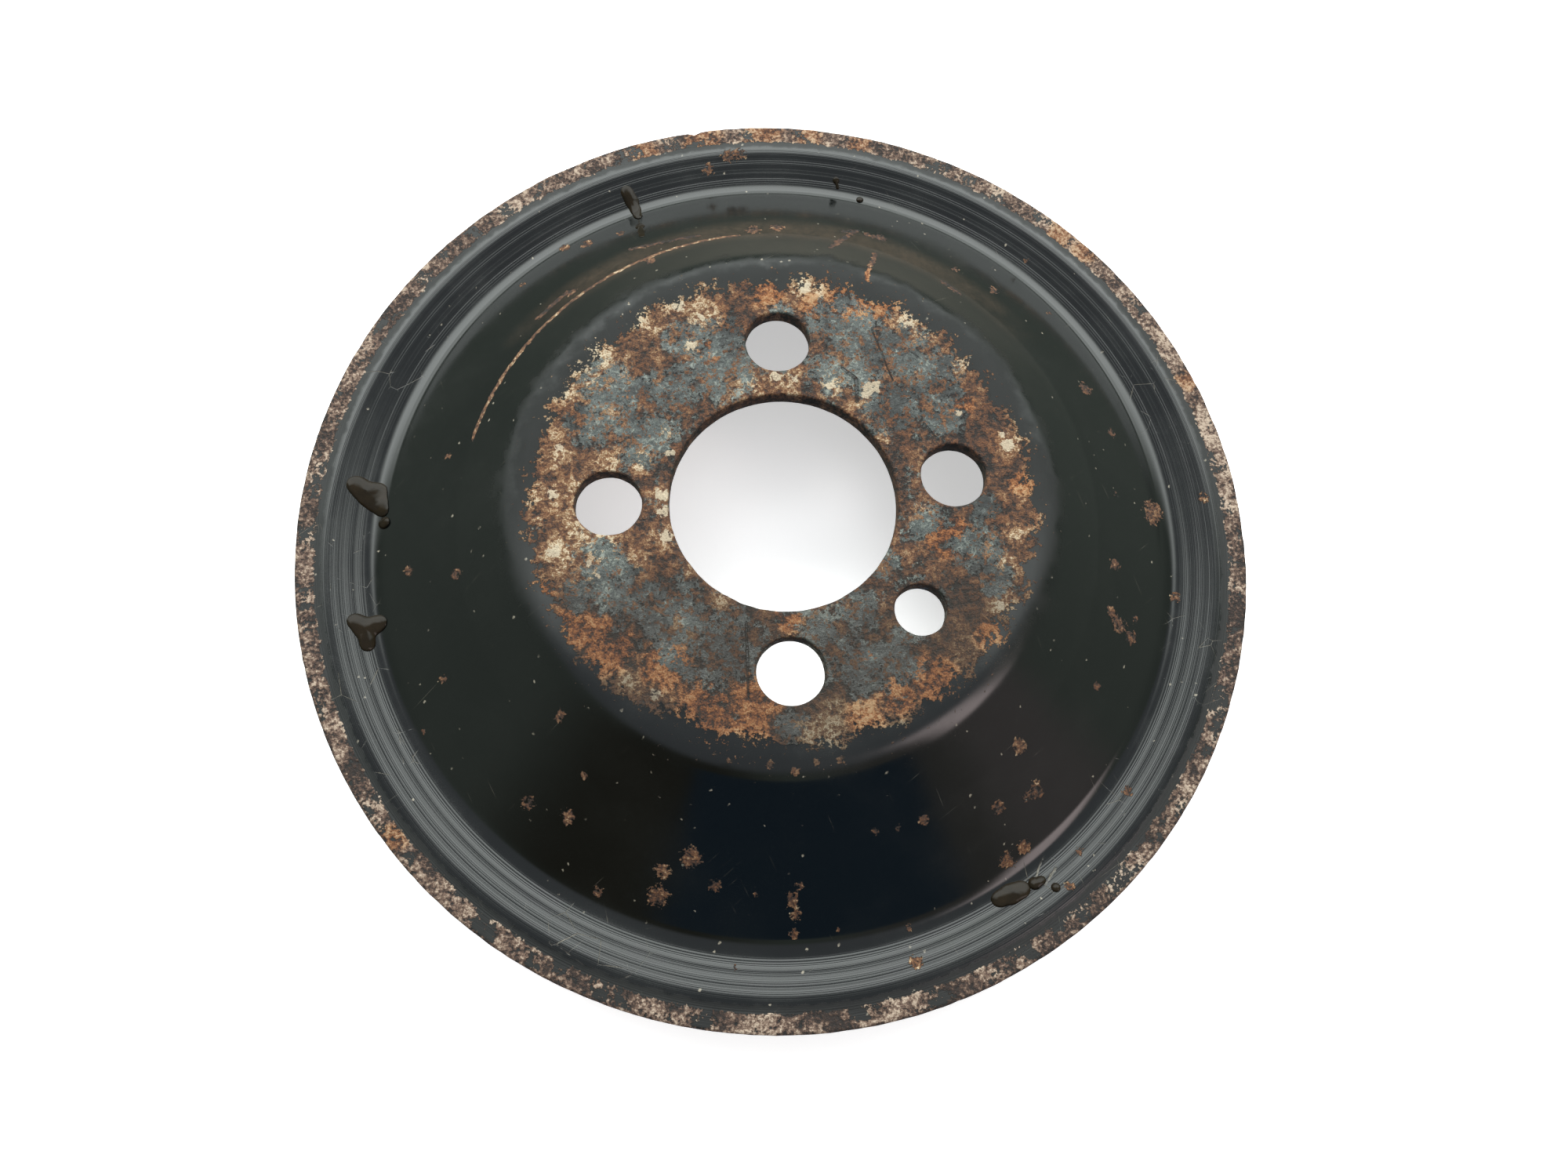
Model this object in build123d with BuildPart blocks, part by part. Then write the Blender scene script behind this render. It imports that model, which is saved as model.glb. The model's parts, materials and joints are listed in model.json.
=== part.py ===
from build123d import *
from math import cos, radians, sin, tan
import os

# Pressed-steel V-belt pulley, made of two sheet pressings that are spot-welded together.
# The origin is the centre of the bore on the hub's rear seat face, where the pulley meets
# the shaft flange. +Z runs along the axis to the front of the pulley. +Y points to the
# first bolt hole. All sizes are in millimetres and all corners are given as (radius, z).

# Sheet and hub
SHEET = 2.3                  # thickness of both pressings
BORE_RADIUS = 14.6
HUB_RADIUS = 34.5            # corner where the flat hub turns down into the dish
HUB_RISE = 12.9              # front of the hub above the front of the rim

# Dish between the hub and the rim
SHOULDER_WIDTH = 7.75        # steep shoulder, from the hub's corner out to the crease
CREASE_DROP = 5.9            # crease below the front of the hub
VALLEY_DEPTH = 1.3           # lowest ring of the front face, below the front of the rim

# Rim and belt groove
RIM_RADIUS = 65.0
FLANGE_WIDTH = 10.3          # from the valley out to the edge of the rim
LIP_WIDTH = 2.6              # flat band round the edge of the front flange
LIP_SHEET = 1.9              # the flange is ironed thinner at its edge
BEAD_INSET = 1.5             # top of the raised bead, inside the flat band
BEAD_HEIGHT = 0.25           # above the flat band
GROOVE_HALF_ANGLE = 18.0
GROOVE_DEPTH = 10.5          # from the edge of the rim in to the floor
GROOVE_MOUTH = 2.4           # the sloped walls end this far inside the rim
GROOVE_WIDTH = 9.2           # between the walls where they end

# Collar of the rear pressing, nested under the dish, and its spot welds
COLLAR_SETBACK = 3.25        # from the crease out to the collar's free end
WELD_COUNT = 8
NUGGET_RADIUS = 2.5
NUGGET_DEPTH = 1.2           # how far each nugget reaches into each sheet
DIMPLE_RADIUS = 3.0          # electrode mark on the back of the collar
DIMPLE_DEPTH = 0.25

# Holes in the hub
BOLT_CIRCLE_RADIUS = 22.25
BOLT_HOLE_RADIUS = 4.25
BOLT_ANGLES = (90.0, 180.0, 270.0, 7.7)      # the last hole is set off, so it fits one way
LOCATING_HOLE_RADIUS = 3.3
LOCATING_ANGLE = -42.0

# Bends and edges
SHOULDER_BEND = 6.0          # front face, hub into dish
CREASE_BEND = 4.0
VALLEY_BEND = 3.4
BEAD_BEND = 1.6
LIP_BEND = 0.8
INNER_BEND = 1.2             # concave bends of the rear pressing
PUNCHED_EDGE = 0.3           # rounding of the hole edges on the front


def meet(point_a, angle_a, point_b, angle_b):
    """Corner where two lines cross, each given by a point and its rise in degrees."""
    slope_a = tan(radians(angle_a))
    slope_b = tan(radians(angle_b))
    rise = point_b[1] - point_a[1] - slope_b * point_b[0] + slope_a * point_a[0]
    radius = rise / (slope_a - slope_b)
    return (radius, point_a[1] + slope_a * (radius - point_a[0]))


def behind(point, angle, distance):
    """The point moved square to a sloping line, towards the back of the pulley."""
    return (point[0] + distance * sin(radians(angle)), point[1] - distance * cos(radians(angle)))


def line_angle(start, end):
    """Rise in degrees of the line from start to end."""
    return (Vector(end) - Vector(start)).get_signed_angle(Vector(1, 0, 0), Vector(0, 0, -1))


def outline(face_corners, face_bends, back_corners, back_bends):
    """Draws a closed section: a front face and a back face joined by two straight ends."""
    face = FilletPolyline(*face_corners, radius=face_bends)
    back = FilletPolyline(*back_corners, radius=back_bends)
    Line(face @ 0, back @ 0)
    Line(face @ 1, back @ 1)


# Front face of the front pressing
rim_z = SHEET - HUB_RISE
hub_corner = (HUB_RADIUS, SHEET)
crease = (HUB_RADIUS + SHOULDER_WIDTH, SHEET - CREASE_DROP)
valley = (RIM_RADIUS - FLANGE_WIDTH, rim_z - VALLEY_DEPTH)
lip_start = RIM_RADIUS - LIP_WIDTH
bead = (lip_start - BEAD_INSET, rim_z + BEAD_HEIGHT)
shoulder_angle = line_angle(hub_corner, crease)
dish_angle = line_angle(crease, valley)

# Back face of the front pressing, which carries the front wall of the groove
wall_radius = RIM_RADIUS - GROOVE_MOUTH
wall_top = (wall_radius, rim_z - LIP_SHEET)
under_crease = behind(crease, dish_angle, SHEET)
under_hub = meet((0.0, 0.0), 0.0, behind(crease, shoulder_angle, SHEET), shoulder_angle)
back_crease = meet(behind(crease, shoulder_angle, SHEET), shoulder_angle, under_crease, dish_angle)
back_valley = meet(under_crease, dish_angle, wall_top, GROOVE_HALF_ANGLE)

# The rear pressing mirrors the front wall across the groove
rear_wall_z = wall_top[1] - GROOVE_WIDTH
rear_wall_top = (wall_radius, rear_wall_z)
rear_z = rear_wall_z - SHEET
floor_radius = RIM_RADIUS - GROOVE_DEPTH
collar_radius = crease[0] + COLLAR_SETBACK
collar_slope = tan(radians(dish_angle))
collar_end = (collar_radius, under_crease[1] + collar_slope * (collar_radius - under_crease[0]))
floor_front = (floor_radius, collar_end[1] + collar_slope * (floor_radius - collar_radius))
wall_slope = tan(radians(GROOVE_HALF_ANGLE))
floor_rear = (floor_radius, rear_wall_z + wall_slope * (wall_radius - floor_radius))
bore_side = floor_radius - SHEET
collar_back = behind(collar_end, dish_angle, SHEET)
under_collar = (bore_side, collar_back[1] + collar_slope * (bore_side - collar_back[0]))
wall_back = behind(rear_wall_top, -GROOVE_HALF_ANGLE, SHEET)
under_wall = (bore_side, wall_back[1] - wall_slope * (bore_side - wall_back[0]))
rear_lip = meet((0.0, rear_z), 0.0, wall_back, -GROOVE_HALF_ANGLE)

# One plane per spot weld, lying on the joint between the two sheets and facing the front
weld_radius = (collar_radius + bore_side) / 2
weld_z = collar_end[1] + collar_slope * (weld_radius - collar_radius)
weld_planes = []
for number in range(WELD_COUNT):
    turn = radians(360.0 * (number + 0.5) / WELD_COUNT)
    place = (weld_radius * cos(turn), weld_radius * sin(turn), weld_z)
    lean = sin(radians(-dish_angle))
    facing = (lean * cos(turn), lean * sin(turn), cos(radians(dish_angle)))
    weld_planes.append(Plane(origin=place, z_dir=facing))

with BuildPart() as front_pressing:
    with BuildSketch(Plane.XZ):
        with BuildLine():
            outline(
                [(BORE_RADIUS, SHEET), hub_corner, crease, valley, bead,
                 (lip_start, rim_z), (RIM_RADIUS, rim_z)],
                [SHOULDER_BEND, CREASE_BEND, VALLEY_BEND, BEAD_BEND, LIP_BEND],
                [(BORE_RADIUS, 0.0), under_hub, back_crease, back_valley, wall_top,
                 (RIM_RADIUS, wall_top[1])],
                [SHOULDER_BEND - SHEET, CREASE_BEND + SHEET, VALLEY_BEND + SHEET, LIP_BEND],
            )
        make_face()
    revolve(axis=Axis.Z)
    with BuildSketch(Plane.XY.offset(SHEET)):
        for angle in BOLT_ANGLES:
            with PolarLocations(BOLT_CIRCLE_RADIUS, 1, start_angle=angle):
                Circle(BOLT_HOLE_RADIUS)
        with PolarLocations(BOLT_CIRCLE_RADIUS, 1, start_angle=LOCATING_ANGLE):
            Circle(LOCATING_HOLE_RADIUS)
    extrude(amount=-SHEET, mode=Mode.SUBTRACT)
    hub_face = front_pressing.faces().filter_by(Plane.XY).sort_by(Axis.Z)[-1]
    fillet(hub_face.inner_wires().edges(), PUNCHED_EDGE)
    for plane in weld_planes:
        with BuildSketch(plane.offset(-NUGGET_DEPTH)):
            Circle(NUGGET_RADIUS)
        extrude(amount=2 * NUGGET_DEPTH, mode=Mode.SUBTRACT)

with BuildPart() as rear_pressing:
    with BuildSketch(Plane.XZ):
        with BuildLine():
            outline(
                [collar_end, floor_front, floor_rear, rear_wall_top, (RIM_RADIUS, rear_wall_z)],
                [INNER_BEND + SHEET, INNER_BEND, LIP_BEND],
                [collar_back, under_collar, under_wall, rear_lip, (RIM_RADIUS, rear_z)],
                [INNER_BEND, INNER_BEND + SHEET, LIP_BEND + SHEET],
            )
        make_face()
    revolve(axis=Axis.Z)
    for plane in weld_planes:
        with BuildSketch(plane.offset(-NUGGET_DEPTH)):
            Circle(NUGGET_RADIUS)
        extrude(amount=2 * NUGGET_DEPTH, mode=Mode.SUBTRACT)
        with BuildSketch(plane.offset(-SHEET)):
            Circle(DIMPLE_RADIUS)
        extrude(amount=DIMPLE_DEPTH, mode=Mode.SUBTRACT)

front_pressing.part.label = "front_pressing"
rear_pressing.part.label = "rear_pressing"
os.makedirs("parts", exist_ok=True)
export_step(front_pressing.part, "parts/front_pressing.step")
export_step(rear_pressing.part, "parts/rear_pressing.step")

for number, plane in enumerate(weld_planes, start=1):
    with BuildPart() as spot_weld:
        with BuildSketch(plane.offset(-NUGGET_DEPTH)):
            Circle(NUGGET_RADIUS)
        extrude(amount=2 * NUGGET_DEPTH)
    spot_weld.part.label = f"spot_weld_{number}"
    export_step(spot_weld.part, f"parts/spot_weld_{number}.step")
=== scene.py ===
import json
import math

import bmesh
import bpy
import numpy as np
from mathutils import Matrix, Vector, noise


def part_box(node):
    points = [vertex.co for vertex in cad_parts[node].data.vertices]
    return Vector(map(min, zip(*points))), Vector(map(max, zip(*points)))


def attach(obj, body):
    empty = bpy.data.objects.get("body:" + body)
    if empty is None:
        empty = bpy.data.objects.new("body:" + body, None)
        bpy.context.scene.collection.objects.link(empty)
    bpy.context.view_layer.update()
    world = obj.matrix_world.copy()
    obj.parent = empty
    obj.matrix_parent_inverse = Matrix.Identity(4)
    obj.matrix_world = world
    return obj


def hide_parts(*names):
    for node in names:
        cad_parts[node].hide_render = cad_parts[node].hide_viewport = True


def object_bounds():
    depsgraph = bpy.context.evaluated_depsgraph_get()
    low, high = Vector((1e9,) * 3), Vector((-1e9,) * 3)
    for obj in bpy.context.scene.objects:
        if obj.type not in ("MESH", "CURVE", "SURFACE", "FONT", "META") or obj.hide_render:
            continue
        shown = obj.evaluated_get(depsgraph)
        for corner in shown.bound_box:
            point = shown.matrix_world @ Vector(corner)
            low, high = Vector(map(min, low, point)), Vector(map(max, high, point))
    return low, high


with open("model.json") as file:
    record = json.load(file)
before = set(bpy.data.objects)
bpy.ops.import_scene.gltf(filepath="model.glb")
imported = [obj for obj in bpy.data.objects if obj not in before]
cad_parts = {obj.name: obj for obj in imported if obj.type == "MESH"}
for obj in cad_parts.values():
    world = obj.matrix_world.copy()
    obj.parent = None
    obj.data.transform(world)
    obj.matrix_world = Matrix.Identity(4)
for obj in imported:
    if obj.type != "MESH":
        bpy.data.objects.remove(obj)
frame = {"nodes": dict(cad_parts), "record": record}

# A used pressed-steel belt pulley: glossy black-green paint, worn to rust on the hub and the rim.
# Sizes below are in millimetres unless a name ends in _M. The axis is Z and the front faces up.

cad_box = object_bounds()
MM = 0.001
RIM = cad_box[1].x / MM                                   # outer radius
FLOOR_M = cad_box[0].z                                    # the rear rim stands on the floor
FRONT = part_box("front_pressing")[1].z / MM                # front of the hub
MOUNTS = {mount["name"]: mount for mount in frame["record"]["mounts"]}
BORE = MOUNTS["centre_bore"]["dims"]["r_mm"]
HOLE_EDGE = 0.3                                           # rounding of the punched holes

SECTION_ANGLE = 45.0        # degrees; a half section here meets no hole and no weld
TURNS = 424                 # steps round the axis
FRONT_STEP = 0.44           # length of a mesh edge along the front of the section
BACK_STEP = 1.6
HUB_WEAR = 31.6             # mean radius of the rusted disc on the hub
LIP = RIM - 2.6             # inner edge of the bare band round the rim
HUB_EDGE = 34.0             # where the flat hub has turned down into the dish
ARC = 42.2                  # radius of the rusty arc rubbed along the crease of the dish
HAZE = 43.5                 # radius of the brown haze on the upper dish
FLANGE = 56.5               # where the ramp of the front flange begins
RING_SPACING = 1.5          # of the faint rings turned into the flange


# ---------------------------------------------------------------- meshes

def blank(name):
    """An empty mesh object at the origin, linked to the scene."""
    thing = bpy.data.objects.new(name, bpy.data.meshes.new(name))
    bpy.context.scene.collection.objects.link(thing)
    return thing


def half_section(node, angle):
    """The outline of a turned CAD node in the XZ half plane, as a wire in a new bmesh."""
    wire = bmesh.new()
    wire.from_mesh(frame["nodes"][node].data)
    bmesh.ops.remove_doubles(wire, verts=wire.verts, dist=0.002 * MM)
    turn = Matrix.Rotation(math.radians(-angle), 3, "Z")
    bmesh.ops.rotate(wire, cent=(0, 0, 0), matrix=turn, verts=wire.verts)
    everything = wire.verts[:] + wire.edges[:] + wire.faces[:]
    bmesh.ops.bisect_plane(wire, geom=everything, dist=0.001 * MM, plane_co=(0, 0, 0),
                           plane_no=(0, 1, 0), clear_inner=True, clear_outer=True)
    far_half = [vertex for vertex in wire.verts if vertex.co.x < 0]
    bmesh.ops.delete(wire, geom=far_half, context="VERTS")
    bmesh.ops.remove_doubles(wire, verts=wire.verts, dist=0.05 * MM)
    return wire


def height_above(wire, radius):
    """Highest point of a section at one radius, in metres, or None outside it."""
    heights = []
    for edge in wire.edges:
        low, high = sorted((vertex.co for vertex in edge.verts), key=lambda point: point.x)
        if low.x <= radius <= high.x and high.x - low.x > 1e-9:
            share = (radius - low.x) / (high.x - low.x)
            heights.append(low.z + share * (high.z - low.z))
    return max(heights) if heights else None


def refine(wire, front_step, back_step):
    """Divides a section's edges, finely on the side that faces the front."""
    steps = {}
    for edge in wire.edges:
        middle = (edge.verts[0].co + edge.verts[1].co) / 2
        top = height_above(wire, middle.x)
        hidden = top is not None and top > middle.z + 0.5 * MM
        steps[edge] = (back_step if hidden else front_step) * MM
    for edge, step in steps.items():
        cuts = int(edge.calc_length() / step)
        if cuts:
            bmesh.ops.subdivide_edges(wire, edges=[edge], cuts=cuts)


def ease(wire, rounds):
    """Smooths the facets out of a section's bends and keeps its square corners."""
    soft = []
    for vertex in wire.verts:
        arms = [(edge.other_vert(vertex).co - vertex.co) for edge in vertex.link_edges]
        if len(arms) == 2 and arms[0].angle(arms[1]) > math.radians(130):
            soft.append(vertex)
    for _ in range(rounds):
        bmesh.ops.smooth_vert(wire, verts=soft, factor=0.5, use_axis_x=True, use_axis_z=True)


def spin_round(wire, turns):
    """Turns a section about the axis into a closed shell."""
    geometry = wire.verts[:] + wire.edges[:]
    bmesh.ops.spin(wire, geom=geometry, cent=(0, 0, 0), axis=(0, 0, 1), angle=math.tau,
                   steps=turns, use_merge=True)
    bmesh.ops.recalc_face_normals(wire, faces=wire.faces)


def punch(mount_name):
    """A cutter for one hole: straight through the hub, flared where its front edge is rounded."""
    mount = MOUNTS[mount_name]
    radius = mount["dims"].get("r_mm", mount["dims"].get("hole_r_mm"))
    rounding = [math.radians(90 * step / 4) for step in range(5)]
    flare = [(radius + HOLE_EDGE * (1 - math.cos(turn)), FRONT - HOLE_EDGE * (1 - math.sin(turn)))
             for turn in rounding]
    outline = [(0, -1.0), (radius, -1.0)] + flare + [(radius + HOLE_EDGE, FRONT + 1), (0, FRONT + 1)]
    cutter = bmesh.new()
    corners = [cutter.verts.new((r * MM, 0, z * MM)) for r, z in outline]
    for start, end in zip(corners, corners[1:]):
        cutter.edges.new((start, end))
    spin_round(cutter, 72)
    bmesh.ops.remove_doubles(cutter, verts=cutter.verts, dist=0.002 * MM)
    bmesh.ops.recalc_face_normals(cutter, faces=cutter.faces)
    return cutter


def hole_centres():
    """Every hub hole outside the bore: the mount that sizes it and its centre in metres."""
    spacing = MOUNTS["bolt_pair"]["dims"]["spacing_y_mm"] * MM
    holes = [("bolt_pair", Vector((0, side * spacing / 2, 0))) for side in (1, -1)]
    for name in ("bolt_hole_left", "bolt_hole_offset", "locating_hole"):
        x, y, _ = MOUNTS[name]["pos_m"]
        holes.append((name, Vector((x, y, 0))))
    return holes


def cut_holes(thing):
    """Cuts the bolt holes and the locating hole through the hub."""
    cutters = blank("cutters")
    shape = bmesh.new()
    for name, centre in hole_centres():
        cutter = punch(name)
        bmesh.ops.translate(cutter, vec=centre, verts=cutter.verts)
        part = bpy.data.meshes.new("cutter")
        cutter.to_mesh(part)
        shape.from_mesh(part)
    shape.to_mesh(cutters.data)
    cut = thing.modifiers.new("holes", "BOOLEAN")
    cut.object = cutters
    cut.operation = "DIFFERENCE"
    cut.solver = "EXACT"
    graph = bpy.context.evaluated_depsgraph_get()
    thing.data = bpy.data.meshes.new_from_object(thing.evaluated_get(graph))
    thing.modifiers.clear()
    bpy.data.objects.remove(cutters)


# ---------------------------------------------------------------- wear, as listed marks

# (x, y, size): paint that is left on the hub, scuffed to blue-grey
BLUE_FILM = [
    (-21, 14, 5.5), (-18, 9, 4.5), (-24, 11, 3.5), (-14, 15, 4), (-9, 18, 4.5), (-12, 22.5, 3),
    (-7, 23.5, 3), (-6, 19, 3.5), (8, 25, 4), (12, 22, 4.5), (16, 20, 5), (20, 17, 4.5), (7, 18, 3.5),
    (15, 13, 4.5), (21, 11.5, 3.5), (12, 17.5, 4), (-14, -15.5, 5), (-8, -19, 5), (-19, -13, 4),
    (-13, -20, 3), (4, -17.5, 3), (8, -21.5, 4), (13, -22, 3.5), (0, -29, 2), (24, -7, 3.5),
    (26, -11, 2.5), (18, -3.5, 2.5), (26, -1.5, 1.8), (-23, -8.5, 3.5), (-26, -12, 2.5),
    (12, -8.5, 2.2), (9, -15, 2.8), (1, 26.5, 1.6), (14, -18, 2.2),
]
# (x, y, size): pale tan and cream scale
PALE_SCALE = [
    (-29.5, 11, 2.6), (-29, 6, 2.4), (-28, 15, 2.4), (-25.5, 18, 2.2), (-23, 21, 2), (-18, 25, 2.4),
    (-13, 28, 3.2), (-9.5, 26.5, 2.6), (-30, 1, 2.4), (-28.5, -6.5, 2.2), (-25.5, 2, 2.6),
    (-22, 5.5, 2), (-18, 5, 1.6), (-15.8, 0.5, 1.8), (-15.2, -5, 2), (-13, -9, 1.6), (-8, -12.8, 1.6),
    (-23, -5.5, 2), (-18, -8, 2), (3.5, 30, 2.2), (6, 29.5, 1.6), (17.5, 25.5, 2.2), (20.5, 23, 1.6),
    (29.5, 7.5, 2.2), (30, 0, 1.4), (30, -5, 2), (28, -9.5, 1.6), (26.5, -14.5, 2.2), (0.5, 17, 2.6),
    (-3, 16.2, 1.8), (6.5, 15.5, 1.6), (10, 12, 1.6), (4, -29, 2.6), (1.5, -30, 1.6), (9, -27.5, 2.2),
    (-16, -24.5, 2), (-19.5, -22.5, 1.4), (24, 18.5, 1.4), (-11.5, 21.8, 1.1), (-15, 10, 1),
    (-26, -2.5, 2.2), (-24, -10, 1.2), (13.5, 8, 1.2), (-30.5, -2.2, 1.2),
]
# (x, y, size): fresh orange rust
ORANGE_RUST = [
    (12, 29, 4.4), (9.5, 28.6, 2.8), (4.5, 27.8, 1.6), (13.5, 26.5, 1.6), (-4, -25.5, 3),
    (-6, -28.5, 3.8), (-10.5, -26.5, 3.6), (-1, 29.4, 2.2), (-24, -17, 2.6), (9, -28, 2.6),
    (17.5, -24, 3), (13, -26, 2.2), (20, -6, 2), (21.5, -4.5, 1.6), (-22, -19, 3),
    (-15.5, -21.5, 3), (-27, -16, 2.2),
    (10, -20.6, 1), (-30.5, -12, 1.8), (24, 13, 1.6), (-9, 21, 1.4), (-20, 14.5, 1.2), (30.5, 1.5, 1.6),
    (25, -18.5, 2), (-27, -22.5, 1.6), (0, -15.8, 1.6), (0, 64, 3), (-9, 63, 3), (7, 63.6, 2.4),
    (-18, 61, 2), (44, 46, 2.4), (47, 43.4, 2), (60, 22, 1.8), (-50, -39.6, 2), (14.6, 62, 2),
]
# (x, y, size): chips of cream scale and bare whitish metal
CHIPS = [
    (12.0, 15.2, 1.0), (11.2, 14.6, 0.7), (12.8, 15.8, 0.5), (-23.4, -9.6, 0.5), (-24.6, -8.0, 0.4),
    (29.4, 7.0, 0.9), (29, 8.6, 0.5), (-14.4, 6.6, 0.6), (6.6, 15.6, 0.6), (-28.8, -6.4, 0.8),
    (-29.4, 1.4, 0.9), (-15.5, 0.8, 0.9), (-15.3, -1.2, 0.8), (-15.0, -4.6, 0.9), (-11.4, 21.8, 0.7),
    (26.6, -14.6, 0.7), (-0.4, 17.2, 0.8), (2.0, 16.8, 0.5), (17.4, 24.6, 0.7), (4.0, 30.2, 0.8),
    (-13.0, 27.6, 0.9), (-10.0, 26.0, 0.6), (-28.4, 7.6, 0.6), (23.4, 11.6, 0.5), (-16.6, -24.6, 0.8),
]
# (x, y, size): rust spots through the paint of the dish and the flange
DISH_SPOTS = [
    (52.6, 2.0, 1.5), (52, 0.8, 1), (60, 3.8, 0.8), (44.5, -15, 1.1), (46.4, -16.6, 0.9),
    (43.2, -13.6, 0.6), (47.4, -14, 0.5), (44.4, -7.2, 0.8), (47.2, 12.8, 0.7), (44, 19.6, 1),
    (32, 35, 0.8), (26.5, 38, 0.6), (16, 43, 1), (14.2, 43.4, 0.6), (-2.4, 43.4, 1), (1, 44, 0.9),
    (-26.6, 45, 0.8), (-21.5, 46, 0.6), (-29.8, 45, 0.7), (-28, 34, 0.8), (-17, 37.5, 0.7),
    (-8.6, 57.8, 0.9), (-5.4, 60, 1), (-3.6, 60.4, 0.8), (-44.2, 10, 0.5), (-49.4, -5, 0.7),
    (-42.2, -7, 0.7), (-44, -20, 0.6), (-28.4, -26.4, 0.7), (-33, -36, 0.8), (-28, -38, 0.9),
    (-24.6, -47, 0.7), (-16.4, -45, 0.9), (-17, -47.8, 1.2), (-12.6, -43.7, 1.2), (-10, -47, 0.7),
    (0.6, -47.4, 0.5), (-0.4, -49, 0.8), (0.2, -50.8, 0.7), (-0.2, -53, 0.6), (5.4, -52.8, 0.4),
    (14.4, -52.8, 0.5), (10, -41.4, 0.5), (12.8, -41, 0.5), (16.2, -40, 0.7), (26.2, -38.8, 0.8),
    (31.4, -36.6, 1), (30, -37.4, 0.6), (28.8, -31.4, 0.9), (40.6, -23.4, 0.6), (44.6, -36.6, 0.7),
    (27.6, -45, 1), (30, -43.4, 0.8), (15, -57, 0.8), (-7.8, -56.8, 0.5), (37.2, -44.4, 0.6),
    (54.6, -10.4, 0.7), (35.4, -48.6, 0.6), (0, -34.4, 0.5), (-3, -33.6, 0.5), (5.6, -33.2, 0.5),
    (-25.6, -33.4, 0.5), (-8, -33, 0.4), (-4.8, -48.2, 0.4), (41, 33, 0.5),
    (38.6, 42.4, 0.5), (-35.6, 38.4, 0.5), (-47, -26, 0.5), (2.6, -33.4, 0.4), (46, 3, 0.4),
]
# (start x, start y, end x, end y, half width): thin runs of rust
RUST_RUNS = [
    (12.6, 44.4, 8.0, 38.6, 0.35), (10.2, 43.6, 12.8, 44.2, 0.3), (14.6, 38.4, 12.4, 31.4, 0.3),
    (-20, 41.4, -10, 42.6, 0.3), (24, 34, 26, 32, 0.35), (-32.6, 30, -28.6, 34, 0.3),
]
# (start x, start y, end x, end y, half width): grooves scratched into the hub
SCRATCHES = [
    (12.6, 24, 15, 16.4, 0.09), (10.1, 16.6, 10.1, 13.4, 0.22), (8.4, 18.2, 10.1, 16.6, 0.18),
    (-5.3, -16, -5.3, -25.6, 0.12), (18.6, 10.2, 20.4, 7.8, 0.1), (17.4, 20.6, 18.8, 19.4, 0.07),
]
# (angle, spread): stretches of the flange where the paint has cracked, in degrees
CRACKED = [(183, 9), (197, 7), (209, 5), (152, 6), (318, 9), (303, 6), (243, 10), (20, 6), (342, 7)]
# liquid drops: the lobes of each (x, y, size) and its height
DROPS = [
    ([(-56.0, 7.0, 1.6), (-57.6, 8.3, 1.2), (-54.6, 5.6, 1.3), (-53.9, 4.4, 0.7), (-54.6, 7.6, 0.9)], 0.5),
    ([(-53.6, 2.7, 0.85)], 0.45),
    ([(-55.3, -12.0, 1.5), (-56.7, -10.9, 0.9), (-53.6, -11.2, 1.0), (-54.9, -14.2, 0.9)], 0.5),
    ([(-20.0, 52.8, 1.0), (-20.7, 54.2, 0.9), (-19.4, 51.3, 0.8), (-19.0, 49.9, 0.6)], 0.45),
    ([(-18.7, 47.2, 0.65), (-18.9, 48.8, 0.6), (-18.5, 45.8, 0.6), (-18.3, 44.6, 0.5)], 0.2),
    ([(14.2, 53.0, 0.5), (12.9, 53.2, 0.45), (11.6, 53.3, 0.45), (15.6, 52.7, 0.45), (17.0, 52.3, 0.4)],
     0.3),
    ([(10.7, 56.2, 0.5), (10.9, 55.2, 0.35)], 0.3),
    ([(27.8, -49.2, 1.3), (26.2, -49.8, 0.9), (29.4, -48.6, 1.0)], 0.5),
    ([(31.0, -48.0, 0.8), (32.0, -47.6, 0.5)], 0.5),
    ([(33.6, -48.6, 0.6)], 0.35),
]


NO_MARK = -1.5             # strength of a mark far from where it is
FULL_MARK = 1.3            # strength that no noise in the finish can hide


def blots(points, marks):
    """Strength of a set of round marks at each point: 1 in the middle, 0.5 at the stated size."""
    strength = np.full(len(points), NO_MARK)
    for x, y, size in marks:
        away = ((points[:, 0] - x) ** 2 + (points[:, 1] - y) ** 2) / size ** 2
        strength = np.maximum(strength, np.clip(1 - 0.5 * away, NO_MARK, 1))
    return strength


def cloud(points, size, octaves=3, seed=0.0):
    """Smooth noise about zero, with features of a given size in millimetres."""
    shift = Vector((seed, seed * 0.7, seed * 1.3))
    return np.array([noise.fractal(Vector(point) / size + shift, 1.0, 2.0, octaves)
                     for point in points])


def rise(values, low, high):
    """0 below low, 1 above high and straight between."""
    return np.clip((values - low) / (high - low), 0, 1)


def mesh_points(thing):
    """Points in millimetres and their normals, as arrays."""
    count = len(thing.data.vertices)
    points = np.zeros(count * 3, np.float32)
    normals = np.zeros(count * 3, np.float32)
    thing.data.vertices.foreach_get("co", points)
    thing.data.vertices.foreach_get("normal", normals)
    return points.reshape(-1, 3).astype(float) / MM, normals.reshape(-1, 3).astype(float)


def write_marks(thing, name, red, green, blue):
    """Stores three strengths at each vertex as one colour attribute."""
    layer = thing.data.attributes.new(name, "FLOAT_COLOR", "POINT")
    colours = np.stack([red, green, blue, np.ones(len(red))], axis=1).astype(np.float32)
    layer.data.foreach_set("color", colours.ravel())


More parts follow.
